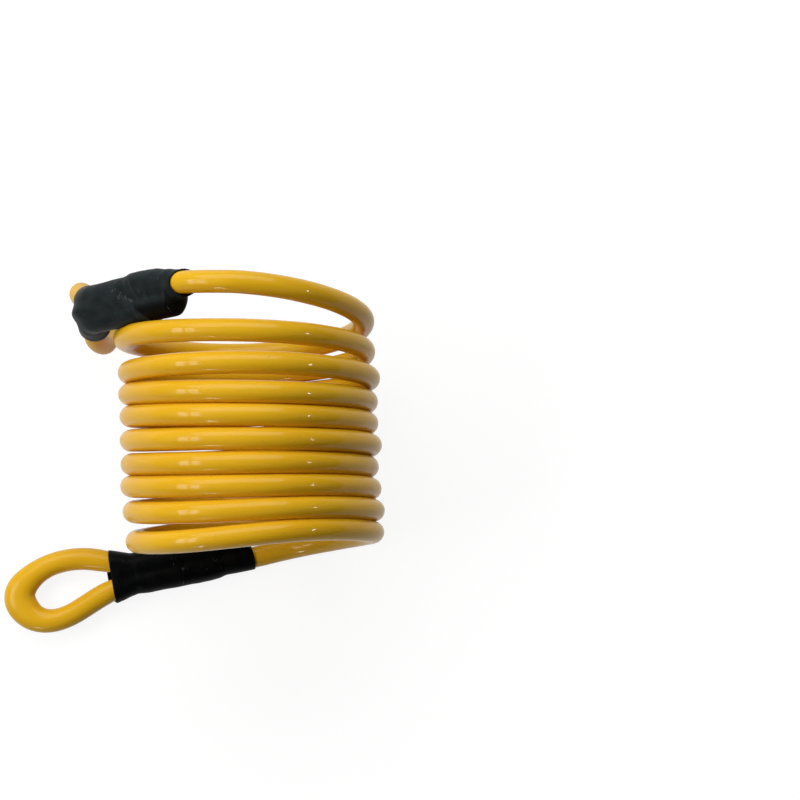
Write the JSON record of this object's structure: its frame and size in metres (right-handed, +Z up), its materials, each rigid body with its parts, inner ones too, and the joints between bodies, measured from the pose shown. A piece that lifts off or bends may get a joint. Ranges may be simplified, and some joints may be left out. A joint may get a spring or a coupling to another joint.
{
  "type": "coiled security cable",
  "caption": "Self-coiling steel security cable in a plastic jacket, with a looped eye and a heat-shrink sleeve at each end, lying on its side.",
  "frame": {"origin": "on the floor, in the middle of the rectangle that the whole cable covers", "axes": "+Z up; the coil's axis runs along Y; the lower end's eye is towards -X and -Y, and the upper end is at +Y"},
  "size_m": [0.1899, 0.1761, 0.1247],
  "materials": {
    "yellow_jacket": "glossy flexible PVC",
    "black_sleeve": "satin heat-shrink tube, lightly scuffed",
    "steel_rope": "galvanised wire rope",
    "ferrule_metal": "plain pressed aluminium"
  },
  "bodies": {
    "lower_end": {"coil_jacket": "yellow_jacket", "coil_rope": "steel_rope", "lower_eye_jacket": "yellow_jacket", "lower_eye_rope": "steel_rope", "lower_ferrule": "ferrule_metal", "lower_sleeve": "black_sleeve"},
    "upper_end": {"upper_eye_jacket": "yellow_jacket", "upper_eye_rope": "steel_rope", "upper_ferrule": "ferrule_metal", "upper_sleeve": "black_sleeve"}
  },
  "joints": [
    {"name": "coil_stretch", "type": "slide", "parent": "lower_end", "child": "upper_end", "axis": [0, 1, 0], "range_m": [0, 1.2], "stiffness_N_per_m": 15, "deforming": ["coil_jacket", "coil_rope"]}
  ]
}
